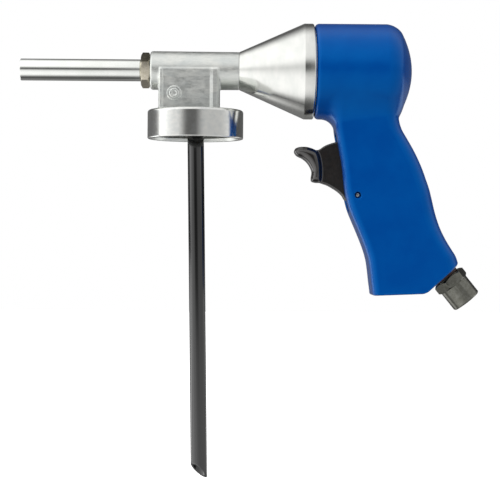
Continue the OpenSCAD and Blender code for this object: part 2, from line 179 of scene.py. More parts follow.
def surface_net(name, field, low, high, step):
    """A closed mesh of quads where the field is 0, shaded by the field's own slope."""
    axes = [np.arange(low[k] - 2 * step, high[k] + 2 * step, step) for k in range(3)]
    shape = tuple(len(a) for a in axes)
    grid = np.stack(np.meshgrid(*axes, indexing="ij"), -1)
    value = field(grid.reshape(-1, 3)).reshape(shape)
    value[value == 0] = 1e-9
    total = np.zeros(shape + (3,))
    count = np.zeros(shape)
    crossings = []
    for k in range(3):
        here = tuple(slice(0, -1) if a == k else slice(1, None) for a in range(3))
        there = tuple(slice(1, None) for a in range(3))
        a, b = value[here], value[there]
        cut = np.argwhere((a < 0) != (b < 0)) + [0 if i == k else 1 for i in range(3)]
        cut_a = value[tuple(cut.T)]
        ahead = cut + np.eye(3, dtype=int)[k]
        cut_b = value[tuple(ahead.T)]
        place = grid[tuple(cut.T)].copy()
        place[:, k] += step * cut_a / (cut_a - cut_b)
        i, j = (k + 1) % 3, (k + 2) % 3
        ring = []
        for di, dj in ((0, 0), (-1, 0), (-1, -1), (0, -1)):
            cell = cut.copy()
            cell[:, i] += di
            cell[:, j] += dj
            np.add.at(total, tuple(cell.T), place)
            np.add.at(count, tuple(cell.T), 1)
            ring.append(np.ravel_multi_index(tuple(cell.T), shape))
        ring = np.stack(ring, 1)
        crossings.append(np.where((cut_a < 0)[:, None], ring, ring[:, ::-1]))
    used = np.flatnonzero(count.ravel())
    number = np.full(count.size, -1)
    number[used] = np.arange(len(used))
    points = total.reshape(-1, 3)[used] / count.ravel()[used][:, None]
    for _ in range(4):
        slope = slope_of(field, points)
        size = np.maximum((slope**2).sum(1), 0.05)
        move = -slope * (field(points) / size)[:, None]
        far = np.maximum(np.linalg.norm(move, axis=1) / (0.5 * step), 1)
        points += move / far[:, None]
    normals = slope_of(field, points)
    normals /= np.maximum(np.linalg.norm(normals, axis=1), 1e-9)[:, None]
    quads = number[np.concatenate(crossings)]
    mesh = bpy.data.meshes.new(name)
    mesh.from_pydata((points * MM).tolist(), [], quads.tolist())
    mesh.polygons.foreach_set("use_smooth", np.ones(len(quads), bool))
    mesh.normals_split_custom_set_from_vertices(normals.tolist())
    mesh.update()
    return added(name, mesh)


# ---------------------------------------------------------------- turned and cut pieces

def added(name, mesh):
    """The mesh as an object in the scene."""
    piece = bpy.data.objects.new(name, mesh)
    bpy.context.scene.collection.objects.link(piece)
    return piece


def turned_mesh(name, profile, segments=128, closed=True):
    """A solid of revolution about the X axis, from (x, radius) points."""
    points, faces = [], []
    n = len(profile)
    for s in range(segments):
        a = 2 * math.pi * s / segments
        points += [(x, r * math.cos(a), r * math.sin(a)) for x, r in profile]
    for s in range(segments):
        t = (s + 1) % segments
        for k in range(n if closed else n - 1):
            j = (k + 1) % n
            faces.append((s * n + k, s * n + j, t * n + j, t * n + k))
    mesh = bpy.data.meshes.new(name)
    mesh.from_pydata([tuple(v * MM for v in p) for p in points], [], faces)
    work = bmesh.new()
    work.from_mesh(mesh)
    bmesh.ops.remove_doubles(work, verts=work.verts, dist=1e-7)
    bmesh.ops.dissolve_degenerate(work, edges=work.edges, dist=1e-8)
    bmesh.ops.recalc_face_normals(work, faces=work.faces)
    work.to_mesh(mesh)
    work.free()
    return added(name, mesh)


def with_edges(profile, radius, steps=3):
    """A closed profile with every corner rounded, as far as its sides allow."""
    out = []
    n = len(profile)
    for k in range(n):
        before, here, after = (Vector(profile[(k + d) % n]) for d in (-1, 0, 1))
        back, ahead = before - here, after - here
        r = min(radius, back.length * 0.45, ahead.length * 0.45)
        a, b = here + back.normalized() * r, here + ahead.normalized() * r
        for s in range(steps + 1):
            t = s / steps
            out.append(tuple((1 - t) ** 2 * a + 2 * t * (1 - t) * here + t * t * b))
    return out


def apply_modifiers(piece):
    """The piece's mesh as its modifiers leave it, with none left on it."""
    graph = bpy.context.evaluated_depsgraph_get()
    mesh = bpy.data.meshes.new_from_object(piece.evaluated_get(graph))
    piece.modifiers.clear()
    piece.data = mesh


def shade_by_angle(piece, degrees=35):
    mesh = piece.data
    mesh.polygons.foreach_set("use_smooth", np.ones(len(mesh.polygons), bool))
    mesh.set_sharp_from_angle(angle=math.radians(degrees))
    mesh.update()


def cut_by(piece, tool, operation="DIFFERENCE"):
    """piece with tool taken from it, unless operation says otherwise. The tool is used up."""
    boolean = piece.modifiers.new("cut", "BOOLEAN")
    boolean.operation, boolean.object, boolean.solver = operation, tool, "EXACT"
    apply_modifiers(piece)
    bpy.data.objects.remove(tool)


def bevel(piece, width, segments=3, degrees=30):
    edge = piece.modifiers.new("bevel", "BEVEL")
    edge.width, edge.segments = width * MM, segments
    edge.limit_method, edge.angle_limit = "ANGLE", math.radians(degrees)
    edge.miter_outer = "MITER_ARC"
    apply_modifiers(piece)


def corner_radius(flats):
    """The radius over the corners of a hexagon that is flats wide across its flats."""
    return flats / 2 / math.cos(math.pi / 6)


def hexagon(name, x0, x1, flats, turn):
    """A hexagonal bar along X, on the axis."""
    corner = corner_radius(flats)
    ring = [(corner * math.cos(turn + math.pi / 3 * k), corner * math.sin(turn + math.pi / 3 * k))
            for k in range(6)]
    points = [(x * MM, y * MM, z * MM) for x in (x0, x1) for y, z in ring]
    faces = [tuple(range(5, -1, -1)), tuple(range(6, 12))]
    faces += [(k, (k + 1) % 6, 6 + (k + 1) % 6, 6 + k) for k in range(6)]
    mesh = bpy.data.meshes.new(name)
    mesh.from_pydata(points, [], faces)
    return added(name, mesh)


def place(piece, origin, turn=Matrix.Identity(4)):
    """Turns the mesh and moves its origin point to origin, leaving the object where it is."""
    piece.data.transform(Matrix.Translation(Vector(origin) * MM) @ turn)
    piece.data.update()


ON_SPRAY_LINE = (0, 0, SPRAY_Z)
# takes +X to the direction in which the air inlet leaves the grip
TO_INLET = Matrix.Rotation(math.pi / 2 - INLET_TILT, 4, "Y")


# ---------------------------------------------------------------- finishes

# the sockets of a Mix node that its colours use
MIX_FACTOR, MIX_A, MIX_B, MIX_RESULT = 0, 6, 7, 2


class ShaderTree:
    """The shader nodes of a material or world."""

    def __init__(self, owner):
        owner.use_nodes = True
        self.nodes = owner.node_tree.nodes
        self.links = owner.node_tree.links

    def join(self, source, target):
        self.links.new(source, target)

    def feed(self, socket, value):
        """Joins value to the socket if it is a socket too, and else sets it there."""
        if isinstance(value, bpy.types.NodeSocket):
            self.join(value, socket)
        else:
            socket.default_value = value

    def mix(self, factor, a, b, mode="MIX"):
        """Colour a turned into b by factor."""
        node = self.nodes.new("ShaderNodeMix")
        node.data_type, node.blend_type = "RGBA", mode
        for k, value in ((MIX_FACTOR, factor), (MIX_A, a), (MIX_B, b)):
            self.feed(node.inputs[k], value)
        return node.outputs[MIX_RESULT]


class Finish(ShaderTree):
    """A Principled material, with textures that are laid in millimetres."""

    def __init__(self, name, color, roughness, metallic=0.0):
        self.material = bpy.data.materials.new(name)
        super().__init__(self.material)
        self.shader = self.nodes["Principled BSDF"]
        self.set("Base Color", (*color, 1))
        self.set("Roughness", roughness)
        self.set("Metallic", metallic)
        self.coords = self.nodes.new("ShaderNodeTexCoord").outputs["Object"]

    def set(self, socket, value):
        self.shader.inputs[socket].default_value = value

    def noise(self, size, stretch=(1, 1, 1), detail=4, rough=0.55, distort=0.0):
        """Noise whose features are about size millimetres across, longer where stretch is more."""
        mapping = self.nodes.new("ShaderNodeMapping")
        mapping.inputs["Scale"].default_value = [1 / (MM * size * s) for s in stretch]
        self.join(self.coords, mapping.inputs["Vector"])
        noise = self.nodes.new("ShaderNodeTexNoise")
        noise.inputs["Scale"].default_value = 1
        noise.inputs["Detail"].default_value = detail
        noise.inputs["Roughness"].default_value = rough
        noise.inputs["Distortion"].default_value = distort
        self.join(mapping.outputs["Vector"], noise.inputs["Vector"])
        return noise.outputs["Fac"]

    def spread(self, source, low, high, start=0.3, end=0.7):
        """source between start and end, as a value from low to high."""
        node = self.nodes.new("ShaderNodeMapRange")
        for socket, value in zip(("From Min", "From Max", "To Min", "To Max"),
                                 (start, end, low, high)):
            node.inputs[socket].default_value = value
        self.join(source, node.inputs["Value"])
        return node.outputs["Result"]

    def ramp(self, source, *stops):
        """source as a colour, from (position, colour) stops."""
        node = self.nodes.new("ShaderNodeValToRGB")
        stops = [(p, (*c, 1)) for p, c in stops]
        elements = node.color_ramp.elements
        elements[0].position, elements[0].color = stops[0]
        elements[1].position, elements[1].color = stops[-1]
        for position, color in stops[1:-1]:
            elements.new(position).color = color
        self.join(source, node.inputs["Fac"])
        return node.outputs["Color"]

    def color(self, source):
        self.join(source, self.shader.inputs["Base Color"])

    def roughness(self, source):
        self.join(source, self.shader.inputs["Roughness"])

    def bump(self, source, depth, strength=1.0, under=None):
        """Raises the surface by up to depth millimetres where source is high."""
        node = self.nodes.new("ShaderNodeBump")
        node.inputs["Distance"].default_value = depth * MM
        node.inputs["Strength"].default_value = strength
        self.join(source, node.inputs["Height"])
        if under:
            self.join(under, node.inputs["Normal"])
        self.join(node.outputs["Normal"], self.shader.inputs["Normal"])
        return node.outputs["Normal"]


def blue_plastic():
    f = Finish("blue_plastic", (0.0, 0.056, 0.28), 0.22)
    f.set("Specular IOR Level", 0.85)
    f.set("Specular Tint", (0.03, 0.45, 1.0, 1))
    tone = f.noise(14, detail=2)
    f.color(f.ramp(tone, (0.35, (0.0, 0.052, 0.27)), (0.65, (0.0, 0.060, 0.29))))
    f.roughness(f.spread(f.noise(5, detail=5), 0.17, 0.26))
    grain = f.bump(f.noise(0.9, detail=2), 0.008, 0.35)
    f.bump(f.noise(9, stretch=(1, 1, 2.5), detail=1), 0.04, 0.3, grain)
    return f.material


def black_plastic():
    f = Finish("black_plastic", (0.006, 0.005, 0.005), 0.12)
    f.set("IOR", 1.55)
    f.set("Specular IOR Level", 1.0)
    f.roughness(f.spread(f.noise(2.2, detail=5), 0.07, 0.16))
    f.color(f.ramp(f.noise(3), (0.35, (0.004, 0.0035, 0.0035)), (0.7, (0.011, 0.008, 0.007))))
    f.bump(f.noise(1.3, detail=2), 0.012, 0.35)
    return f.material


def black_nylon():
    f = Finish("black_nylon", (0.002, 0.002, 0.002), 0.1)
    f.set("Specular IOR Level", 1.0)
    streak = f.noise(0.5, stretch=(1, 1, 60), detail=3)
    f.roughness(f.spread(streak, 0.08, 0.14))
    f.color(f.ramp(streak, (0.35, (0.001, 0.001, 0.001)), (0.7, (0.003, 0.003, 0.003))))
    f.bump(streak, 0.003, 0.25)
    return f.material


def black_rubber():
    f = Finish("black_rubber", (0.02, 0.02, 0.02), 0.65)
    f.roughness(f.spread(f.noise(1.0), 0.55, 0.75))
    f.bump(f.noise(0.4, detail=3), 0.02, 0.4)
    return f.material


def cast_aluminium():
    f = Finish("cast_aluminium", (0.74, 0.76, 0.73), 0.3, 1.0)
    skin = f.noise(1.4, stretch=(2.5, 1, 1), detail=6, rough=0.65)
    blotch = f.noise(6, stretch=(2, 1, 1), detail=3, distort=0.6)
    tone = f.ramp(skin, (0.30, (0.66, 0.68, 0.66)), (0.52, (0.77, 0.78, 0.76)),
                  (0.75, (0.84, 0.85, 0.82)))
    stain = f.ramp(blotch, (0.35, (0.88, 0.90, 0.90)), (0.65, (1, 1, 0.98)))
    f.color(f.mix(1.0, tone, stain, "MULTIPLY"))
    f.roughness(f.spread(skin, 0.31, 0.46))
    grain = f.bump(f.noise(0.7, stretch=(2, 1, 1), detail=5, rough=0.65), 0.02, 0.4)
    f.bump(blotch, 0.04, 0.3, grain)
    return f.material


def machined_cap():
    f = Finish("machined_cap", (0.74, 0.75, 0.73), 0.22, 1.0)
    lathe = f.noise(0.5, stretch=(40, 40, 1), detail=3)
    scuff = f.noise(3, stretch=(1, 1, 0.7), detail=6, rough=0.65)
    f.color(f.ramp(scuff, (0.3, (0.68, 0.70, 0.69)), (0.6, (0.80, 0.80, 0.77))))
    f.roughness(f.spread(scuff, 0.21, 0.13))
    fine = f.bump(lathe, 0.004, 0.3)
    f.bump(scuff, 0.012, 0.25, fine)
    return f.material


def turned_aluminium():
    f = Finish("turned_aluminium", (0.75, 0.75, 0.72), 0.16, 1.0)
    lathe = f.noise(0.14, stretch=(1, 90, 90), detail=3)
    haze = f.noise(5, stretch=(1, 2, 2), detail=4)
    f.color(f.ramp(haze, (0.35, (0.72, 0.73, 0.70)), (0.65, (0.79, 0.79, 0.76))))
    f.roughness(f.spread(lathe, 0.12, 0.22))
    f.bump(lathe, 0.008, 0.4)
    return f.material


def plated_steel():
    f = Finish("plated_steel", (0.95, 0.96, 0.93), 0.12, 1.0)
    drawn = f.noise(0.3, stretch=(90, 1, 1), detail=3)
    f.roughness(f.spread(drawn, 0.10, 0.17))
    f.color(f.ramp(f.noise(7), (0.35, (0.91, 0.93, 0.89)), (0.65, (0.97, 0.98, 0.95))))
    f.bump(drawn, 0.003, 0.3)
    return f.material


def brass_like(name, dark, light, low=0.18, high=0.32, size=1.2):
    f = Finish(name, light, low, 1.0)
    wear = f.noise(size, detail=6, rough=0.65)
    f.color(f.ramp(wear, (0.32, dark), (0.62, light)))
    f.roughness(f.spread(wear, high, low))
    f.bump(f.noise(0.25, detail=4), 0.01, 0.4)
    return f.material


def blackened_steel():
    f = Finish("blackened_steel", (0.17, 0.17, 0.15), 0.14, 1.0)
    oxide = f.noise(1.8, detail=6, rough=0.65)
    f.color(f.ramp(oxide, (0.3, (0.12, 0.12, 0.10)), (0.55, (0.17, 0.17, 0.15)),
                   (0.78, (0.23, 0.23, 0.21))))
    f.roughness(f.spread(oxide, 0.11, 0.2))
    f.bump(f.noise(0.5, detail=4), 0.006, 0.35)
    return f.material


def red_fibre():
    f = Finish("red_fibre", (0.035, 0.006, 0.005), 0.5)
    fibre = f.noise(0.7, stretch=(3, 3, 1), detail=5)
    f.color(f.ramp(fibre, (0.3, (0.018, 0.003, 0.003)), (0.7, (0.055, 0.01, 0.008))))
    f.bump(fibre, 0.03, 0.5)
    return f.material


FINISHES = {
    "blue_plastic": blue_plastic(),
    "black_plastic": black_plastic(),
    "black_nylon": black_nylon(),
    "black_rubber": black_rubber(),
    "cast_aluminium": cast_aluminium(),
    "turned_aluminium": turned_aluminium(),
    "plated_steel": plated_steel(),
    "nickel_brass": brass_like("nickel_brass", (0.66, 0.60, 0.47), (0.84, 0.78, 0.64), 0.14, 0.22),
    "brass": brass_like("brass", (0.5, 0.34, 0.12), (0.8, 0.6, 0.27)),
    "bright_steel": brass_like("bright_steel", (0.26, 0.26, 0.27), (0.46, 0.47, 0.48), 0.1, 0.2),
    "copper_washer": brass_like("copper_washer", (0.45, 0.18, 0.09), (0.8, 0.42, 0.26)),
    "sintered_bronze": brass_like("sintered_bronze", (0.25, 0.17, 0.08), (0.6, 0.44, 0.24),
                                  0.45, 0.7, 0.3),
    "blackened_steel": blackened_steel(),
    "red_fibre": red_fibre(),
}
MACHINED_CAP = machined_cap()
# A near-black copy of the nut's brass, used as a painted dark reflection on the nut's upper face.
NUT_TOP_DARK_REFLECTION = brass_like("brass_painted_dark_reflection", (0.03, 0.027, 0.018), (0.10, 0.09, 0.06), 0.14, 0.22)


SLOT_OF = {s["node"]: s["material_slot"] for s in frame["record"]["subparts"]}


def finish_piece(piece, node, body):
    """Gives the piece its finish and body, and lets it stand for the CAD node."""
    slot = SLOT_OF[node]
    piece.data.materials.clear()
    piece.data.materials.append(FINISHES[slot])
    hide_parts(node)
    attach(piece, body)


# ---------------------------------------------------------------- front casting

# Half of the neck's plan as (x, y): a rib at each end and a flat panel between them.
PANEL_Y = 10.45
RIB_Y = 11.1
NECK = [(-20.0, 7.6), (-20.0, 9.8), (-19.0, RIB_Y), (-18.2, RIB_Y), (-17.4, PANEL_Y),
        (8.0, PANEL_Y), (9.8, RIB_Y), (12.0, RIB_Y), (13.2, 9.6), (13.2, 7.6)]
NECK_OUTLINE = NECK + [(x, -y) for x, y in reversed(NECK)]
NECK_MIDDLE_Z, NECK_HALF_Z = 26.0, 12.0
MARK_X, MARK_Z = -11.4, 24.4
MARK_R, MARK_RING_R, MARK_RING_HALF = 3.9, 1.9, 0.55
CAN_R, CAN_ROOF_Z = 23.2, 12.8
CAN_PITCH, CAN_RIDGE = 3.0, 0.4
# radius, start and end along X of the spray tube's thread, the mixing chamber and the cone's seat
SPRAY_BORES = ((TUBE_THREAD_R + 0.05, -40, 6), (5.05, 0, 20), (8.05, 15.3, 40))
# radius and top of the suction port and of the nipple's seat
SUCTION_BORES = ((2.5, SPRAY_Z), (3.55, 24))
CASTING_STEP = 0.45


def barrel_field(x, spray_r):
    taper = BARREL_R - 0.2 * (x - BARREL_FRONT) / (BARREL_REAR - BARREL_FRONT)
    barrel = rounded_max(spray_r - taper, BARREL_FRONT - x, 1.5)
    return rounded_max(barrel, x - BARREL_REAR, 0.2)


def neck_field(x, y, z):
    """The neck with its ribs, and with the cast mark: a low disc with a ring on it."""
    plan = outline_distance(x, y, NECK_OUTLINE)
    neck = rounded_max(plan, np.abs(z - NECK_MIDDLE_Z) - NECK_HALF_Z, 0.7)
    from_mark = np.hypot(x - MARK_X, z - MARK_Z)
    disc = rounded_max(from_mark - MARK_R, np.abs(y + PANEL_Y) - 0.35, 0.3)
    neck = rounded_min(neck, disc, 0.2)
    ring = rounded_max(np.abs(from_mark - MARK_RING_R) - MARK_RING_HALF,
                       np.abs(y + PANEL_Y) - 0.65, 0.3)
    return rounded_min(neck, ring, 0.2)


def can_space(can_r, z):
    """The space for the can, with the ridges of its thread."""
    ridge = CAN_RIDGE + CAN_RIDGE * np.cos(2 * math.pi * (z - 1.7) / CAN_PITCH)
    threaded = (z < 10) * (z > 0.3)
    return rounded_max(can_r - (CAN_R - ridge * threaded), z - CAN_ROOF_Z, 0.3)


def casting_field(p):
    x, y, z = p.T
    spray_r = np.hypot(y, z - SPRAY_Z)
    can_r = np.hypot(x, y)
    cap = rounded_max(can_r - CAP_R, z - CAP_H, 1.5)
    cap = rounded_max(cap, -z, 0.6)
    body = rounded_min(barrel_field(x, spray_r), neck_field(x, y, z), 0.9)
    body = rounded_min(body, cap, 1.1)
    body = rounded_max(body, -can_space(can_r, z), 0.4)
    for radius, top in SUCTION_BORES:
        body = np.maximum(body, -np.maximum(can_r - radius, z - top))
    for radius, x0, x1 in SPRAY_BORES:
        body = np.maximum(body, -np.maximum(spray_r - radius, np.maximum(x0 - x, x - x1)))
    return body


def make_casting():
    """Rough cast all over, but turned bright round the cap."""
    casting = surface_net("front_casting_fine", casting_field, cast_low, cast_high, CASTING_STEP)
    finish_piece(casting, "front_casting", "gun")
    casting.data.materials.append(MACHINED_CAP)
    for face in casting.data.polygons:
        across = math.hypot(face.center.x, face.center.y) / MM
        if face.center.z / MM < CAP_H and across > CAP_R - 1.2:
            face.material_index = 1


make_casting()


# ---------------------------------------------------------------- spray tube, nut and cone

SHOULDER_X = nut_low[0] - 0.5
THREAD_STEP, THREAD_DEPTH = 0.5, 0.35


def make_spray_tube():
    steps = int((tube_high[0] - SHOULDER_X) / THREAD_STEP)
    thread = [(SHOULDER_X + THREAD_STEP * k, TUBE_THREAD_R - THREAD_DEPTH * (k % 2))
              for k in range(steps)]
    profile = [(tube_low[0], TUBE_BORE), (tube_low[0], TUBE_R), (SHOULDER_X, TUBE_R), *thread,
               (tube_high[0], TUBE_THREAD_R), (tube_high[0], TUBE_BORE)]
    tube = turned_mesh("spray_tube_fine", with_edges(profile, 0.35))
    place(tube, ON_SPRAY_LINE)
    shade_by_angle(tube)
    finish_piece(tube, "spray_tube", "spray_tube")


NUT_FLATS = 17.0
NUT_TURN = math.radians(37)
NUT_BORE = TUBE_THREAD_R + 0.05


def make_lock_nut():
    front, rear = nut_low[0], nut_high[0]
    corner = corner_radius(NUT_FLATS)
    nut = hexagon("lock_nut_fine", front, rear, NUT_FLATS, NUT_TURN)
    cut_by(nut, turned_mesh("nut_turning", [
        (front - 1, 0), (front - 0.01, NUT_FLATS / 2 - 0.2), (front + 0.8, corner),
        (rear - 0.8, corner), (rear + 0.01, NUT_FLATS / 2 - 0.2), (rear + 1, 0)]), "INTERSECT")
    cut_by(nut, turned_mesh("nut_bore", [
        (front - 0.01, 0), (front - 0.01, NUT_BORE + 0.7), (front + 0.7, NUT_BORE),
        (rear - 0.4, NUT_BORE), (rear + 0.01, NUT_BORE + 0.4), (rear + 0.01, 0)]))
    bevel(nut, 0.22)
    place(nut, ON_SPRAY_LINE)
    shade_by_angle(nut)
    finish_piece(nut, "lock_nut", "lock_nut")
    # Painted reflection: the nut's face that looks up and toward the camera is made near-black, as
    # if it reflected a dark part of the room.
    nut.data.materials.append(NUT_TOP_DARK_REFLECTION)
    for face in nut.data.polygons:
        if face.normal.z > 0.7 and face.normal.y < -0.4:
            face.material_index = 1


# how far the joint of cone and grip curves back at the sides
DISH = 0.8
SPIGOT_BORE, GROOVE_R = 12.55, 15.2


def make_cone():
    rear = COLLAR_REAR
    profile = [(cone_low[0], 4.5), (cone_low[0], 8), (BARREL_REAR, 8),
               (BARREL_REAR, BARREL_R - 0.2), (CONE_REAR, COLLAR_R), (rear - 0.6, COLLAR_R),
               (rear, COLLAR_R - 0.6), (rear, 23.5), (CONE_REAR, 23.5), (51, 19.6),
               (51, GROOVE_R), (rear, GROOVE_R), (rear, SPIGOT_BORE), (46, SPIGOT_BORE),
               (46, 6.5), (33, 4.5)]
    cone = turned_mesh("cone_housing_fine", with_edges(profile, 0.25), segments=192)
    place(cone, ON_SPRAY_LINE)
    for vertex in cone.data.vertices:
        behind = max(vertex.co.x / MM - CONE_REAR, 0) / (rear - CONE_REAR)
        vertex.co.x += DISH * MM * behind * (vertex.co.y / MM / COLLAR_R) ** 2
    shade_by_angle(cone, 12)
    finish_piece(cone, "cone_housing", "gun")


make_spray_tube()
make_lock_nut()
make_cone()


# ---------------------------------------------------------------- suction tube

DIP_R, DIP_BORE = 4.5, 3.0
DIP_LEAN = math.radians(1)
TIP_TURN = math.radians(40)
WEDGE = 80.0


def make_suction_tube():
    """A plain tube, cut at 45 degrees at its tip and leaning a little."""
    length = dip_high[2] - dip_low[2]
    dip = turned_mesh("suction_tube_fine", with_edges([
        (0, DIP_BORE), (0, DIP_R), (-length - 20, DIP_R), (-length - 20, DIP_BORE)], 0.2), 96)
    place(dip, (0, 0, 0), Matrix.Rotation(-math.pi / 2, 4, "Y"))
    block = bpy.data.meshes.new("block")
    work = bmesh.new()
    bmesh.ops.create_cube(work, size=WEDGE * MM)
    work.to_mesh(block)
    work.free()
    wedge = added("wedge", block)
    tip = Vector((DIP_R, 0, -length)) * MM
    wedge.data.transform(Matrix.Rotation(TIP_TURN, 4, "Z") @ Matrix.Translation(tip)
                         @ Matrix.Rotation(math.pi / 4, 4, "Y")
                         @ Matrix.Translation((0, 0, -WEDGE / 2 * MM)))
    cut_by(dip, wedge)
    bevel(dip, 0.12, 2, 40)
    place(dip, (0, 0, dip_high[2]), Matrix.Rotation(-DIP_LEAN, 4, "Y"))
    shade_by_angle(dip)
    finish_piece(dip, "suction_tube", "gun")


make_suction_tube()


# ---------------------------------------------------------------- grip shells

# the grip's front and rear edges in side view, as (z, x) from the sole up
FORE = [(-90, 97.9), (-83, 97.1), (-77, 96.3), (-71, 95.6), (-65, 94.6), (-60, 93.1),
        (-54.5, 91.0), (-49, 88.7), (-43.5, 86.3), (-38, 84.1), (-32.5, 82.6), (-12.6, 79.8),
        (-2, 77.8), (5, 76.6), (13, 76.1)]
AFT = [(-90, 150), (-66.5, 143.7), (-62.8, 142.3), (-60, 140.5), (-54.5, 137.1), (-49, 134.3),
       (-43.5, 132.2), (-38, 130.6), (-32.5, 129.3), (-27, 127.9), (-21.5, 126.0), (-16, 124.0),
       (-10.5, 121.6), (-5, 118.8), (0.5, 115.6), (6, 112.5), (10, 111.3), (16, 110.9)]
SHELL_STEP = 0.75
GRIP_HALF = 16.5
WALL = 2.4
SEAM = 0.03
HEAD_FRONT = shell_low[0]
HEAD_REAR = 118.6
DOME_R = 40.0
SOLE_X, SOLE_Z, SOLE_SLOPE = 100.0, -84.9, 0.0437
SLOT_TOP, SLOT_BOTTOM, SLOT_HALF, SLOT_END_X = 4.0, -39.0, 6.4, 92
# the round openings for the cone's rear end and for the inlet boss
HEAD_OPENING_R, HEAD_OPENING_DEPTH = 23.5, 4
INLET_OPENING_R, INLET_OPENING_DEPTH = 8.6, 20


def handle_field(p):
    """The whole grip as a solid."""
    x, y, z = p.T
    r = np.hypot(y, z - SPRAY_Z)
    front = HEAD_FRONT + DISH * (y / COLLAR_R) ** 2 - x
    dome = (x - HEAD_REAR + r * r / (2 * DOME_R)) / np.sqrt(1 + (r / DOME_R) ** 2)
    head = rounded_max(r - COLLAR_R, front, 2.4)
    head = rounded_max(head, dome, 5.0)
    fore = curve(z, FORE)
    aft = curve(z, AFT)
    middle, half = (fore + aft) / 2, (aft - fore) / 2
    corner = np.where(x < middle, 4.5, 7.5)
    across = np.abs(x - middle) - half + corner
    crown = 0.5 * ((x - middle) / half) ** 2
    out = np.abs(y) - GRIP_HALF + crown + corner
    grip = np.hypot(np.maximum(across, 0), np.maximum(out, 0))
    grip += np.minimum(np.maximum(across, out), 0) - corner
    sole = (SOLE_Z + SOLE_SLOPE * (x - SOLE_X) - z) / math.hypot(1, SOLE_SLOPE)
    inlet = (x - INLET_FACE[0]) * FACE_OUT[0] + (z - INLET_FACE[2]) * FACE_OUT[2]
    grip = rounded_max(grip, rounded_max(sole, inlet, 1.5), 1.0)
    grip = rounded_max(grip, z - SPRAY_Z + 8, 1.0)
    return rounded_min(head, grip, np.interp(x, [80, 105], [7.5, 4.5]))


def shell_field(p, side):
    """One half of the hollow grip, with its slot, holes and screw bosses."""
    x, y, z = p.T
    solid = handle_field(p)
    inside = solid + WALL
    for screw_x, screw_z in SCREWS:
        boss = np.hypot(x - screw_x, z - screw_z) - SCREW_BOSS_R
        inside = rounded_max(inside, -boss, 0.4)
    shell = rounded_max(solid, -inside, 0.3)
    spray_r = np.hypot(y, z - SPRAY_Z)
    opening = np.maximum(spray_r - HEAD_OPENING_R, x - HEAD_FRONT - HEAD_OPENING_DEPTH)
    shell = rounded_max(shell, -opening, 0.4)
    slot_z = np.abs(z - (SLOT_TOP + SLOT_BOTTOM) / 2) - (SLOT_TOP - SLOT_BOTTOM) / 2
    slot = np.maximum(rounded_max(np.abs(y) - SLOT_HALF, slot_z, 2.0), x - SLOT_END_X)
    shell = rounded_max(shell, -slot, 0.5)
    pin = np.hypot(x - PIVOT[0], z - PIVOT[1]) - PIN_HOLE_R
    shell = rounded_max(shell, -pin, 0.2)
    along = (x - INLET_FACE[0]) * INLET_OUT[0] + (z - INLET_FACE[2]) * INLET_OUT[2]
    off = np.sqrt(np.maximum((x - INLET_FACE[0]) ** 2 + y * y
                             + (z - INLET_FACE[2]) ** 2 - along**2, 0))
    inlet = np.maximum(off - INLET_OPENING_R, -along - INLET_OPENING_DEPTH)
    shell = rounded_max(shell, -inlet, 0.3)
    for screw_x, screw_z in SCREWS:
        away = np.hypot(x - screw_x, z - screw_z)
        shell = np.maximum(shell, -np.maximum(away - SCREW_HOLE_R, -y - SCREW_DEPTH))
        shell = rounded_max(shell, -np.maximum(away - SCREW_HEAD_R, SCREW_SEAT - y), 0.25)
    return rounded_max(shell, SEAM - side * y, 0.2)


def make_shells():
    for node, side in (("handle_shell_left", -1), ("handle_shell_right", 1)):
        low, high = shell_low.copy(), shell_high.copy()
        if side < 0:
            high[1] = 0
        else:
            low[1] = 0
        shell = surface_net(node + "_fine", lambda p, s=side: shell_field(p, s), low, high,
                            SHELL_STEP)
        finish_piece(shell, node, "gun")


make_shells()


# ---------------------------------------------------------------- trigger

# The trigger in side view as (x, z): the finger pad, and the narrower web behind it.
PAD = [(54.4, -6.7), (54.7, -5.3), (56.2, -4.4), (58.8, -4.0), (62.7, -4.4), (67.2, -6.7),
       (69.0, -12.0), (69.5, -17.5), (69.2, -22.2), (67.6, -23.4), (64.4, -22.9), (63.7, -21.3),
       (64.1, -17.6), (63.2, -15.0), (61.4, -12.3), (58.7, -10.1), (55.8, -8.7)]
WEB = [(66.2, -6.7), (68.4, -5.2), (71.4, -3.2), (76.6, -1.4), (79.5, -1.2), (80.9, -2.2),
       (82.6, -9.0), (83.3, -16.0), (84.0, -22.0), (87.5, -26.5), (91.5, -28.0), (92.6, -31.5),
       (90.0, -34.5), (86.0, -34.6), (82.2, -32.6), (80.9, -30.6), (78.2, -28.1), (73.1, -25.0),
       (68.5, -23.2), (66.8, -20.0), (66.6, -12.0)]
PAD_OUTLINE = smooth_outline(PAD)
WEB_OUTLINE = smooth_outline(WEB)
PAD_HALF = (trigger_high[1] - trigger_low[1]) / 2
WEB_HALF = 6.0
TRIGGER_STEP = 0.4


def trigger_field(p):
    x, y, z = p.T
    pad = rounded_max(outline_distance(x, z, PAD_OUTLINE), np.abs(y) - PAD_HALF, 3.6)
    web = rounded_max(outline_distance(x, z, WEB_OUTLINE), np.abs(y) - WEB_HALF, 0.7)
    body = rounded_min(pad, web, 0.8)
    pin = np.hypot(x - PIVOT[0], z - PIVOT[1]) - PIN_HOLE_R
    return rounded_max(body, -pin, 0.3)


def make_trigger():
    trigger = surface_net("trigger_fine", trigger_field, trigger_low - 0.5, trigger_high + 0.5,
                          TRIGGER_STEP)
    finish_piece(trigger, "trigger", "trigger")


make_trigger()


# ---------------------------------------------------------------- air inlet

# Distances from the grip's face, out along the inlet: the seal comes first, then the hexagon.
SEAL_BORE, SEAL_R = 5.9, 6.75
HEX_START, HEX_END = 2.2, 7.8
INLET_END = 19.2
INLET_FLATS = 17.0
INLET_TURN = math.radians(22)
HEX_BORE = 7.6
INLET_BODY_R = INLET_FLATS / 2 - 0.15
STEM_R, STEM_DEPTH = 5.85, 16
THREAD_BORE, FILTER_BORE = 5.72, 4.2


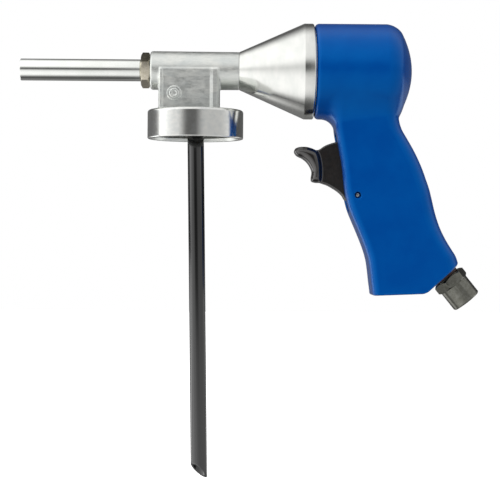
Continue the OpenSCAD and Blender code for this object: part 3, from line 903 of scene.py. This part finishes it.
def inlet_hexagon():
    """The bushing's hexagon, chamfered and bored out to sit on its body."""
    corner = corner_radius(INLET_FLATS)
    nut_part = hexagon("inlet_hex", HEX_START, HEX_END, INLET_FLATS, INLET_TURN)
    cut_by(nut_part, turned_mesh("hex_turning", [
        (HEX_START - 1, 0), (HEX_START - 0.01, INLET_FLATS / 2 - 0.3), (HEX_START + 1.1, corner),
        (HEX_END - 1.1, corner), (HEX_END + 0.01, INLET_FLATS / 2 - 0.3), (HEX_END + 1, 0)]),
        "INTERSECT")
    cut_by(nut_part, turned_mesh("hex_bore", [
        (HEX_START - 3, 0), (HEX_START - 3, HEX_BORE), (HEX_END + 3, HEX_BORE),
        (HEX_END + 3, 0)]))
    return nut_part


def make_inlet_bushing():
    bushing = turned_mesh("inlet_body", [
        (-STEM_DEPTH, 3), (-STEM_DEPTH, STEM_R), (HEX_START + 2, STEM_R),
        (HEX_START + 2, INLET_BODY_R), (INLET_END - 0.7, INLET_BODY_R),
        (INLET_END, INLET_BODY_R - 0.7), (INLET_END, 6.5),
        (INLET_END - 0.8, THREAD_BORE), (7.2, THREAD_BORE), (7.2, FILTER_BORE),
        (-6, FILTER_BORE), (-6, 3)])
    cut_by(bushing, inlet_hexagon(), "UNION")
    bushing.name = "inlet_bushing_fine"
    bevel(bushing, 0.2)
    place(bushing, INLET_FACE, TO_INLET)
    shade_by_angle(bushing)
    finish_piece(bushing, "inlet_bushing", "gun")


def make_inlet_seal():
    seal = turned_mesh("inlet_seal_fine", with_edges(
        [(0, SEAL_BORE), (0, SEAL_R), (HEX_START, SEAL_R), (HEX_START, SEAL_BORE)], 0.4))
    place(seal, INLET_FACE, TO_INLET)
    shade_by_angle(seal)
    finish_piece(seal, "inlet_seal", "gun")


make_inlet_bushing()
make_inlet_seal()


# ---------------------------------------------------------------- trigger pin

def make_trigger_pin():
    """A pin with domed ends, whose left end sits deeper than its right."""
    pin = turned_mesh("trigger_pin_fine", [
        (-14.6, 0), (-14.57, 0.7), (-14.4, 1.2), (-14.1, 1.5), (-13.7, 1.6), (14.4, 1.6),
        (14.8, 1.5), (15.15, 1.2), (15.28, 0.7), (15.3, 0)], 48, closed=False)
    place(pin, (PIVOT[0], 0, PIVOT[1]), Matrix.Rotation(math.pi / 2, 4, "Z"))
    shade_by_angle(pin)
    finish_piece(pin, "trigger_pin", "gun")


make_trigger_pin()


# ---------------------------------------------------------------- valve spring

SPRING_TURNS = 4
SPRING_WIRE = 0.45
SPRING_STEPS, SPRING_SIDES = 192, 16


def spring_mesh(low, high):
    """A coil along X that fills the box from low to high."""
    coil_r = (high[1] - low[1]) / 2 - SPRING_WIRE
    middle_z = (low[2] + high[2]) / 2
    start, end = low[0] + SPRING_WIRE, high[0] - SPRING_WIRE
    points = []
    for k in range(SPRING_STEPS + 1):
        turn = 2 * math.pi * SPRING_TURNS * k / SPRING_STEPS
        along = start + (end - start) * k / SPRING_STEPS
        for j in range(SPRING_SIDES):
            a = 2 * math.pi * j / SPRING_SIDES
            r = coil_r + SPRING_WIRE * math.cos(a)
            points.append(((along + SPRING_WIRE * math.sin(a)) * MM, r * math.cos(turn) * MM,
                           (middle_z + r * math.sin(turn)) * MM))
    last = SPRING_STEPS * SPRING_SIDES
    faces = [tuple(range(SPRING_SIDES))[::-1], tuple(range(last, last + SPRING_SIDES))]
    for k in range(SPRING_STEPS):
        here, there = k * SPRING_SIDES, (k + 1) * SPRING_SIDES
        for j in range(SPRING_SIDES):
            t = (j + 1) % SPRING_SIDES
            faces.append((here + j, here + t, there + t, there + j))
    mesh = bpy.data.meshes.new("valve_spring_fine")
    mesh.from_pydata(points, [], faces)
    work = bmesh.new()
    work.from_mesh(mesh)
    bmesh.ops.recalc_face_normals(work, faces=work.faces)
    work.to_mesh(mesh)
    work.free()
    return mesh


def make_valve_spring():
    """A coil between the poppet and the plug, made as one fixed mesh of one length."""
    low, high = extent("valve_spring")
    spring = added("valve_spring_fine", spring_mesh(low, high))
    shade_by_angle(spring)
    finish_piece(spring, "valve_spring", "gun")
    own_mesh(spring)


make_valve_spring()


# ---------------------------------------------------------------- CAD nodes that stay

for node, cad in frame["nodes"].items():
    for slot in cad.material_slots:
        slot.material = FINISHES[SLOT_OF[node]]


# ---------------------------------------------------------------- camera, light and floor

def aim(thing, target):
    """Turns a camera or light towards a point, upright."""
    look = Vector(target) - thing.location
    thing.rotation_euler = look.to_track_quat("-Z", "Y").to_euler()


# the camera looks along +Y from the left side, rolled a little
VIEW_CENTRE = Vector((30.55, 0, -60.7)) * MM
VIEW_DISTANCE = 0.9
PICTURE_WIDTH = 0.275
SENSOR = 36
ROLL = math.radians(0.45)


def make_camera():
    data = bpy.data.cameras.new("camera")
    data.sensor_width = SENSOR
    data.lens = SENSOR * VIEW_DISTANCE / PICTURE_WIDTH
    camera = bpy.data.objects.new("camera", data)
    bpy.context.scene.collection.objects.link(camera)
    camera.location = VIEW_CENTRE + Vector((0, -VIEW_DISTANCE, 0))
    turn = Matrix.Rotation(math.pi / 2, 3, "X") @ Matrix.Rotation(ROLL, 3, "Z")
    camera.rotation_euler = turn.to_euler()
    bpy.context.scene.camera = camera


make_camera()


def softbox(name, location, target, size, power):
    data = bpy.data.lights.new(name, "AREA")
    data.shape = "RECTANGLE"
    data.size, data.size_y = size
    data.energy = power
    lamp = bpy.data.objects.new(name, data)
    bpy.context.scene.collection.objects.link(lamp)
    lamp.location = location
    aim(lamp, target)
    lamp.visible_camera = False
    lamp.visible_glossy = False


CENTRE = (0.03, 0, -0.03)
softbox("key", (-0.35, -0.9, 0.8), CENTRE, (1.0, 0.7), 6)

# The studio around the object: brightness by the angle in degrees about the X axis, from straight
# in front (0) over the top (90) and under the bottom (-90) to behind, once where the camera leaves
# a dark gap in front and once beside it.
BELOW = [(-180, 0.16), (-135, 0.18), (-114, 0.16), (-104, 0.06), (-92, 0.07), (-76, 0.2),
         (-60, 0.78), (-45, 0.92)]
BELOW_BESIDE = [(-180, 0.16), (-150, 0.35), (-131, 1.2), (-113, 1.7), (-98, 0.35), (-84, 0.35),
                (-72, 0.9), (-45, 0.95)]
GAP = [(-20, 0.8), (-9, 0.58), (-3, 0.24), (3, 0.08), (11, 0.1), (17, 0.35), (26, 0.85)]
BESIDE_GAP = [(-20, 0.9), (-8, 0.8), (0, 0.7), (6, 0.6), (14, 0.75), (24, 0.95)]
OVERHEAD = [(35, 0.98), (92, 1.0), (104, 0.75), (118, 0.35), (134, 0.09), (180, 0.16)]
# and how it changes from the left side (-1) to the right side (1)
ACROSS = [(-1.0, 1.9), (-0.93, 1.75), (-0.87, 1.55), (-0.78, 1.35), (-0.6, 1.35), (0.0, 1.02),
          (0.3, 0.9), (1.0, 0.88)]
# the gap lies a little left of the middle, and ends between these distances from there
GAP_MIDDLE = -0.15
GAP_EDGE = (0.15, 0.55)
# a colour ramp holds no more than 1, so the levels are kept that much smaller
LEVEL_SCALE = 4


class Studio(ShaderTree):
    """The world, with the direction of a ray as x, y and z."""

    def __init__(self):
        self.world = bpy.data.worlds.new("studio")
        super().__init__(self.world)
        coords = self.nodes.new("ShaderNodeTexCoord")
        split = self.nodes.new("ShaderNodeSeparateXYZ")
        self.join(coords.outputs["Generated"], split.inputs["Vector"])
        self.x, self.y, self.z = split.outputs

    def math(self, operation, *values):
        node = self.nodes.new("ShaderNodeMath")
        node.operation = operation
        for socket, value in zip(node.inputs, values):
            self.feed(socket, value)
        return node.outputs["Value"]

    def levels(self, source, stops, low, high):
        """source, from low to high, as the scaled brightness of (value, brightness) stops."""
        node = self.nodes.new("ShaderNodeValToRGB")
        elements = node.color_ramp.elements
        while len(elements) < len(stops):
            elements.new(0.5)
        for element, (value, level) in zip(elements, stops):
            element.position = (value - low) / (high - low)
            element.color = (*[level / LEVEL_SCALE] * 3, 1)
        place = self.math("DIVIDE", self.math("SUBTRACT", source, low), high - low)
        self.join(place, node.inputs["Fac"])
        return node.outputs["Color"]


def studio_world():
    """A white backdrop for the camera, and the studio's lights for everything else."""
    s = Studio()
    angle = s.math("ARCTAN2", s.z, s.math("MULTIPLY", s.y, -1))
    degrees = s.math("MULTIPLY", angle, 180 / math.pi)
    spread = s.math("SUBTRACT", 1, s.math("MULTIPLY", s.math("ABSOLUTE", s.x), 0.2))
    wide = s.math("MULTIPLY", degrees, spread)
    from_gap = s.math("ABSOLUTE", s.math("ADD", s.x, -GAP_MIDDLE))
    beside = s.nodes.new("ShaderNodeMapRange")
    beside.interpolation_type = "SMOOTHSTEP"
    beside.inputs["From Min"].default_value = GAP_EDGE[0]
    beside.inputs["From Max"].default_value = GAP_EDGE[1]
    s.join(from_gap, beside.inputs["Value"])
    front = s.levels(wide, BELOW + GAP + OVERHEAD, -180, 180)
    side = s.levels(wide, BELOW_BESIDE + BESIDE_GAP + OVERHEAD, -180, 180)
    around = s.mix(beside.outputs["Result"], front, side)
    across = s.levels(s.x, ACROSS, -1, 1)
    light = s.mix(1.0, around, across, "MULTIPLY")
    path = s.nodes.new("ShaderNodeLightPath")
    backdrop = (*[1 / LEVEL_SCALE**2] * 3, 1)
    shade = s.mix(path.outputs["Is Camera Ray"], light, backdrop)
    background = s.nodes["Background"]
    background.inputs["Strength"].default_value = LEVEL_SCALE**2
    s.join(shade, background.inputs["Color"])
    return s.world


bpy.context.scene.world = studio_world()

FLOOR_Z = cad_box[0][2] - 0.06
FLOOR_HALF = 4.0


def make_floor():
    """A pale floor that lights itself evenly and throws nothing back on the object."""
    mesh = bpy.data.meshes.new("floor")
    corners = [(-1, -1), (1, -1), (1, 1), (-1, 1)]
    points = [(FLOOR_HALF * x, FLOOR_HALF * y, FLOOR_Z) for x, y in corners]
    mesh.from_pydata(points, [], [(0, 1, 2, 3)])
    floor = added("floor", mesh)
    finish = Finish("floor", (0.9, 0.9, 0.9), 0.7)
    finish.set("Emission Color", (1, 1, 1, 1))
    finish.set("Emission Strength", 0.75)
    floor.data.materials.append(finish.material)
    floor.visible_shadow = False
    floor.visible_diffuse = False
    floor.visible_glossy = False


make_floor()

bpy.context.scene.view_settings.view_transform = "Standard"
